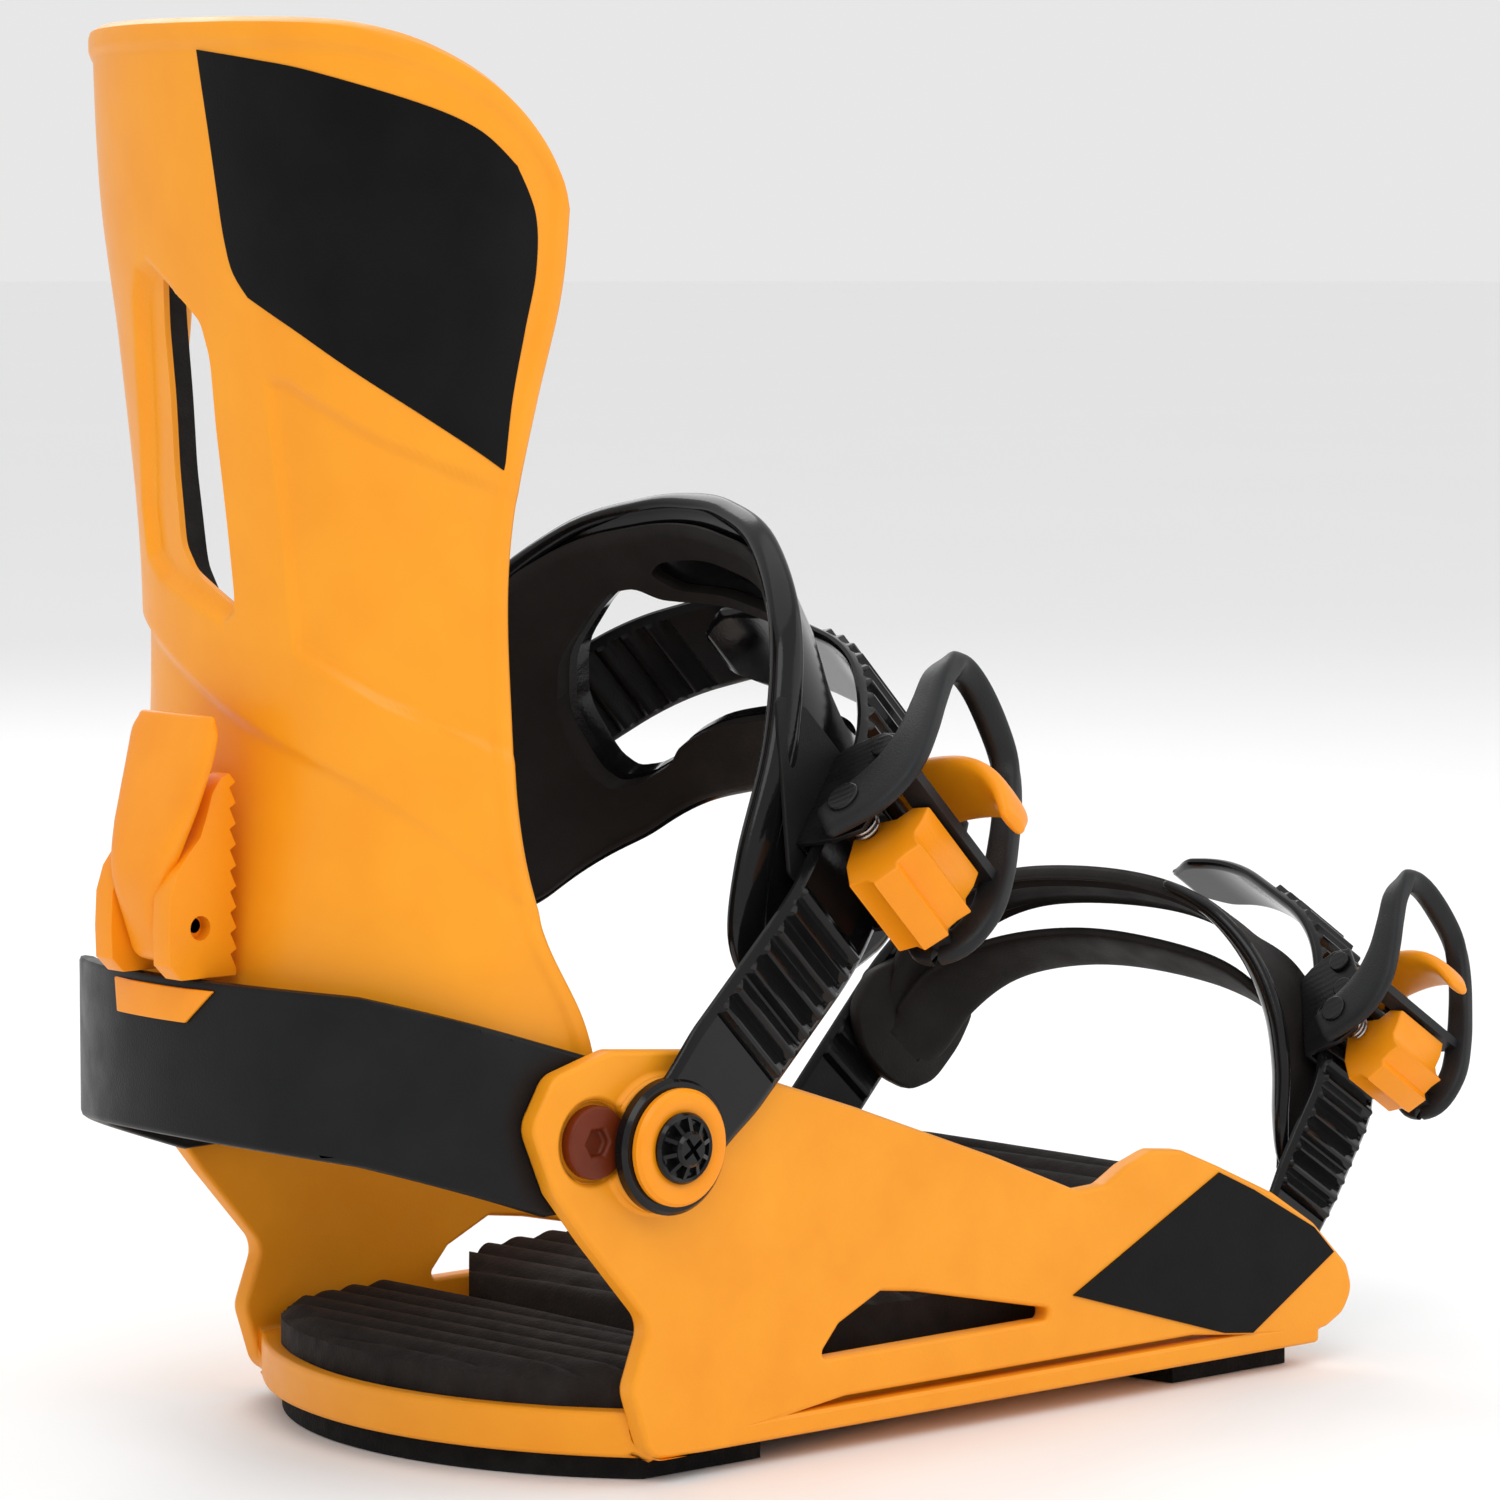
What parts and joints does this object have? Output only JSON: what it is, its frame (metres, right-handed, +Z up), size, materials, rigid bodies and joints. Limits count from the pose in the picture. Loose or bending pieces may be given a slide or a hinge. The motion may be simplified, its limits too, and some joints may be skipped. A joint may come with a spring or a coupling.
{
  "type": "snowboard strap binding",
  "caption": "Two-strap snowboard binding: base tray with footbeds, tall highback on a hoop, forward-lean adjuster, and ratcheted ankle and toe straps.",
  "frame": {"origin": "centre of the mounting disc, on the plane of the board", "axes": "+X to the toe, +Y to the inner side of the foot, +Z up"},
  "size_m": [0.3326, 0.1737, 0.2962],
  "materials": {
    "orange_shell": "satin orange nylon",
    "dark_disc": "matt black plastic",
    "under_foam": "matt black foam",
    "footbed_foam": "dark brown-black ribbed foam",
    "hoop_plastic": "satin charcoal plastic",
    "badge": "satin orange inlay",
    "highback_orange": "satin orange plastic",
    "calf_foam": "matt black padding",
    "panel_dark": "satin dark grey inlay",
    "screw_black": "black steel",
    "nut_steel": "dark plated steel",
    "lean_orange": "satin orange plastic",
    "ladder_black": "glossy black plastic",
    "washer_orange": "satin orange plastic",
    "pad_shell": "glossy black rim",
    "pad_liner": "matt dark brown lining",
    "flap_matt": "matt dark grey plastic",
    "ratchet_steel": "black coated steel",
    "lever_grey": "satin dark grey plastic",
    "ratchet_orange": "satin orange plastic",
    "spring_steel": "bare spring wire",
    "cap_dark": "matt dark brown band",
    "decal_black": "matt black film"
  },
  "bodies": {
    "base": {"base_plate": "orange_shell", "mounting_disc": "dark_disc", "heel_under_pad": "under_foam", "toe_under_pad": "under_foam", "heel_footbed": "footbed_foam", "toe_footbed": "footbed_foam", "hoop": "hoop_plastic", "hoop_badge": "badge", "highback_screws": "screw_black", "highback_nuts": "nut_steel", "ankle_ladder_washer": "washer_orange", "ankle_connector_washer": "washer_orange", "ankle_ladder_screw": "screw_black", "ankle_connector_screw": "screw_black", "ankle_ladder_nut": "nut_steel", "ankle_connector_nut": "nut_steel", "toe_ladder_screw": "screw_black", "toe_connector_screw": "screw_black", "toe_decals": "decal_black"},
    "highback": {"highback_shell": "highback_orange", "calf_pad": "calf_foam", "highback_panel": "panel_dark"},
    "lean_adjuster": {"lean_block": "lean_orange", "lean_pin": "nut_steel"},
    "lean_catch": {"lean_lever": "lean_orange"},
    "ankle_ladder_body": {"ankle_ladder": "ladder_black"},
    "ankle_strap": {"ankle_connector": "ladder_black", "ankle_keeper": "lever_grey", "ankle_pad": "pad_shell", "ankle_pad_liner": "pad_liner", "ankle_flap": "flap_matt", "ankle_ratchet_frame": "ratchet_steel", "ankle_ratchet_pivot_pin": "ratchet_steel", "ankle_ratchet_rivets": "ratchet_steel", "ankle_ratchet_spring": "spring_steel"},
    "ankle_lever": {"ankle_ratchet_lever": "lever_grey", "ankle_ratchet_drive": "ratchet_orange"},
    "ankle_release": {"ankle_ratchet_release": "ratchet_orange"},
    "toe_strap": {"toe_ladder": "ladder_black", "toe_connector": "ladder_black", "toe_cap": "cap_dark", "toe_bracket": "flap_matt", "toe_ratchet_frame": "ratchet_steel", "toe_ratchet_pivot_pin": "ratchet_steel", "toe_ratchet_rivets": "ratchet_steel", "toe_ratchet_spring": "spring_steel"},
    "toe_lever": {"toe_ratchet_lever": "lever_grey", "toe_ratchet_drive": "ratchet_orange"},
    "toe_release": {"toe_ratchet_release": "ratchet_orange"}
  },
  "joints": [
    {"name": "highback_fold", "type": "hinge", "parent": "base", "child": "highback", "pos_m": [-0.107, 0, 0.072], "axis": [0, 1, 0], "range_deg": [0, 16]},
    {"name": "lean_slide", "type": "slide", "parent": "highback", "child": "lean_adjuster", "axis": [0, 0, 1], "range_m": [0, 0.012]},
    {"name": "lean_catch_turn", "type": "hinge", "parent": "lean_adjuster", "child": "lean_catch", "pos_m": [-0.163, 0, 0.115], "axis": [0, -1, 0], "range_deg": [0, 72]},
    {"name": "ankle_strap_swing", "type": "hinge", "parent": "base", "child": "ankle_strap", "pos_m": [-0.09, 0.071, 0.07], "axis": [0, 1, 0], "range_deg": [-12, 20]},
    {"name": "ankle_ladder_swing", "type": "hinge", "parent": "base", "child": "ankle_ladder_body", "pos_m": [-0.09, -0.071, 0.07], "axis": [0, 1, 0], "range_deg": [-12, 20]},
    {"name": "ankle_lever_turn", "type": "hinge", "parent": "ankle_strap", "child": "ankle_lever", "pos_m": [-0.03382, -0.07572, 0.12425], "axis": [0.6947, 0, -0.7193], "range_deg": [-8, 34], "stiffness_Nm_per_rad": 0.1},
    {"name": "ankle_release_turn", "type": "hinge", "parent": "ankle_strap", "child": "ankle_release", "pos_m": [-0.02064, -0.06996, 0.13698], "axis": [0.6947, 0, -0.7193], "range_deg": [0, 14], "stiffness_Nm_per_rad": 0.05},
    {"name": "toe_strap_swing", "type": "hinge", "parent": "base", "child": "toe_strap", "pos_m": [0.1, -0.0598, 0.026], "axis": [-0.3857, 0.9226, 0], "range_deg": [-6, 3]},
    {"name": "toe_lever_turn", "type": "hinge", "parent": "toe_strap", "child": "toe_lever", "pos_m": [0.12859, -0.06244, 0.07002], "axis": [0.8387, 0, -0.5446], "range_deg": [-28, 14], "stiffness_Nm_per_rad": 0.08},
    {"name": "toe_release_turn", "type": "hinge", "parent": "toe_strap", "child": "toe_release", "pos_m": [0.13595, -0.05385, 0.08135], "axis": [0.8387, 0, -0.5446], "range_deg": [0, 14], "stiffness_Nm_per_rad": 0.04}
  ],
  "couplings": [
    {"joint": "ankle_ladder_swing", "follows": "ankle_strap_swing", "ratio": 1}
  ]
}
